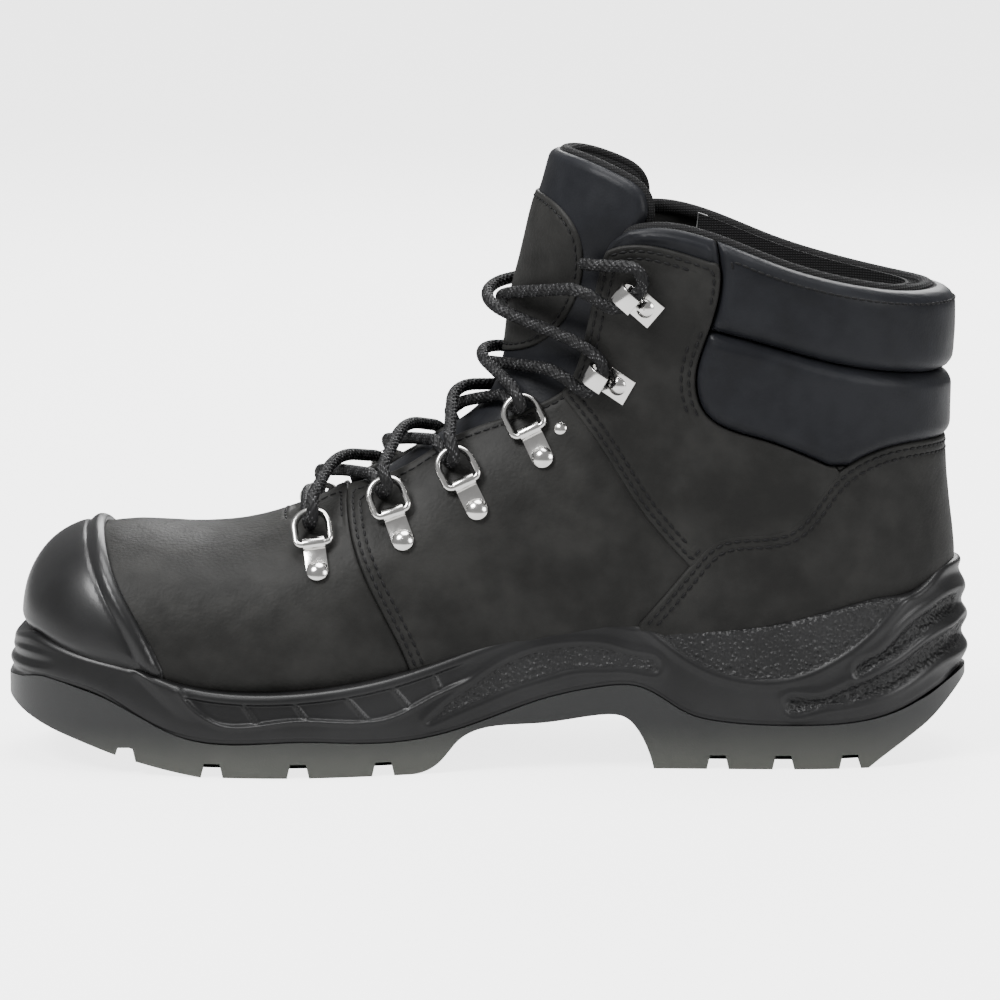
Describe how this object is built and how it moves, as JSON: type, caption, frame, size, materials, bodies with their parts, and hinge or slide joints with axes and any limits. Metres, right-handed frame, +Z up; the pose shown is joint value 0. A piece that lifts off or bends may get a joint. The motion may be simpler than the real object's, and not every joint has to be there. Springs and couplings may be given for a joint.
{
  "type": "steel toe work boot",
  "caption": "Black leather lace-up safety boot for the right foot, with padded collar, D-ring and speed hook lacing, moulded toe bumper over a steel cap, and lugged two-layer sole.",
  "frame": {"origin": "centre of the bounding box at floor level, under the sole", "axes": "+X towards the heel, -X towards the toe; +Y towards the outer (lateral) side; +Z up"},
  "size_m": [0.3112, 0.1122, 0.1964],
  "materials": {
    "nickel": "polished nickel plate",
    "outsole": "smoky translucent polyurethane, satin",
    "midsole": "moulded polyurethane, satin",
    "bumper": "moulded polyurethane, semi-gloss",
    "steel": "pressed steel, coated",
    "hide": "oiled nubuck, soft matt",
    "soft_leather": "smooth soft leather",
    "foam": "polyurethane foam",
    "board": "fibre board",
    "lining": "knitted mesh",
    "lace": "round braid"
  },
  "bodies": {
    "boot": {"ankle_panel_lateral": "hide", "ankle_panel_medial": "hide", "bottom_filler": "foam", "collar_lower_cover": "soft_leather", "collar_lower_foam": "foam", "collar_upper_cover": "soft_leather", "collar_upper_foam": "foam", "footbed": "lining", "gusset_lateral": "soft_leather", "gusset_medial": "soft_leather", "heel_counter_cover": "hide", "heel_counter_stiffener": "board", "lace": "lace", "lasting_board": "board", "midsole": "midsole", "outsole": "outsole", "quarter_interlining": "lining", "quarter_lateral": "hide", "quarter_medial": "hide", "reinforcing_rivet_lateral": "nickel", "reinforcing_rivet_medial": "nickel", "ring_clip_lateral_1": "nickel", "ring_clip_lateral_2": "nickel", "ring_clip_lateral_3": "nickel", "ring_clip_lateral_4": "nickel", "ring_clip_medial_1": "nickel", "ring_clip_medial_2": "nickel", "ring_clip_medial_3": "nickel", "ring_clip_medial_4": "nickel", "shaft_lining": "lining", "shank": "steel", "speed_hook_lateral_1": "nickel", "speed_hook_lateral_2": "nickel", "speed_hook_medial_1": "nickel", "speed_hook_medial_2": "nickel", "steel_toe_cap": "steel", "toe_scuff_cap": "bumper", "vamp": "hide", "vamp_interlining": "lining", "vamp_lining": "lining"},
    "tongue": {"tongue_leather": "soft_leather", "tongue_foam": "foam", "tongue_lining": "lining", "tongue_patch": "soft_leather"},
    "ring_lateral_1": {"d_ring_lateral_1": "nickel"},
    "ring_lateral_2": {"d_ring_lateral_2": "nickel"},
    "ring_lateral_3": {"d_ring_lateral_3": "nickel"},
    "ring_lateral_4": {"d_ring_lateral_4": "nickel"},
    "ring_medial_1": {"d_ring_medial_1": "nickel"},
    "ring_medial_2": {"d_ring_medial_2": "nickel"},
    "ring_medial_3": {"d_ring_medial_3": "nickel"},
    "ring_medial_4": {"d_ring_medial_4": "nickel"}
  },
  "joints": [
    {"name": "tongue_tilt", "type": "hinge", "parent": "boot", "child": "tongue", "pos_m": [-0.064, 0, 0.0765], "axis": [0, 1, 0], "range_deg": [0, 4], "stiffness_Nm_per_rad": 0.5, "springref_deg": -28.65, "deforming": ["gusset_medial", "gusset_lateral"]},
    {"name": "ring_swing_lateral_1", "type": "hinge", "parent": "boot", "child": "ring_lateral_1", "pos_m": [-0.0555, 0.03853, 0.07207], "axis": [-0.9887, -0.028, -0.1474], "range_deg": [-2, 2]},
    {"name": "ring_swing_lateral_2", "type": "hinge", "parent": "boot", "child": "ring_lateral_2", "pos_m": [-0.03042, 0.03821, 0.08196], "axis": [-0.9419, 0.0971, -0.3215], "range_deg": [-2, 2]},
    {"name": "ring_swing_lateral_3", "type": "hinge", "parent": "boot", "child": "ring_lateral_3", "pos_m": [-0.00789, 0.03572, 0.09142], "axis": [-0.8933, 0.181, -0.4114], "range_deg": [-2, 2]},
    {"name": "ring_swing_lateral_4", "type": "hinge", "parent": "boot", "child": "ring_lateral_4", "pos_m": [0.01302, 0.02845, 0.10752], "axis": [-0.89, 0.0996, -0.445], "range_deg": [-2, 2]},
    {"name": "ring_swing_medial_1", "type": "hinge", "parent": "boot", "child": "ring_medial_1", "pos_m": [-0.05575, -0.03422, 0.07226], "axis": [0.9889, 0.0209, 0.1474], "range_deg": [-2, 2]},
    {"name": "ring_swing_medial_2", "type": "hinge", "parent": "boot", "child": "ring_medial_2", "pos_m": [-0.03039, -0.03361, 0.08211], "axis": [0.9431, 0.0835, 0.3219], "range_deg": [-2, 2]},
    {"name": "ring_swing_medial_3", "type": "hinge", "parent": "boot", "child": "ring_medial_3", "pos_m": [-0.00776, -0.03185, 0.09154], "axis": [0.9018, 0.1194, 0.4153], "range_deg": [-2, 2]},
    {"name": "ring_swing_medial_4", "type": "hinge", "parent": "boot", "child": "ring_medial_4", "pos_m": [0.01324, -0.0273, 0.1077], "axis": [0.8943, -0.0143, 0.4472], "range_deg": [-2, 2]}
  ]
}
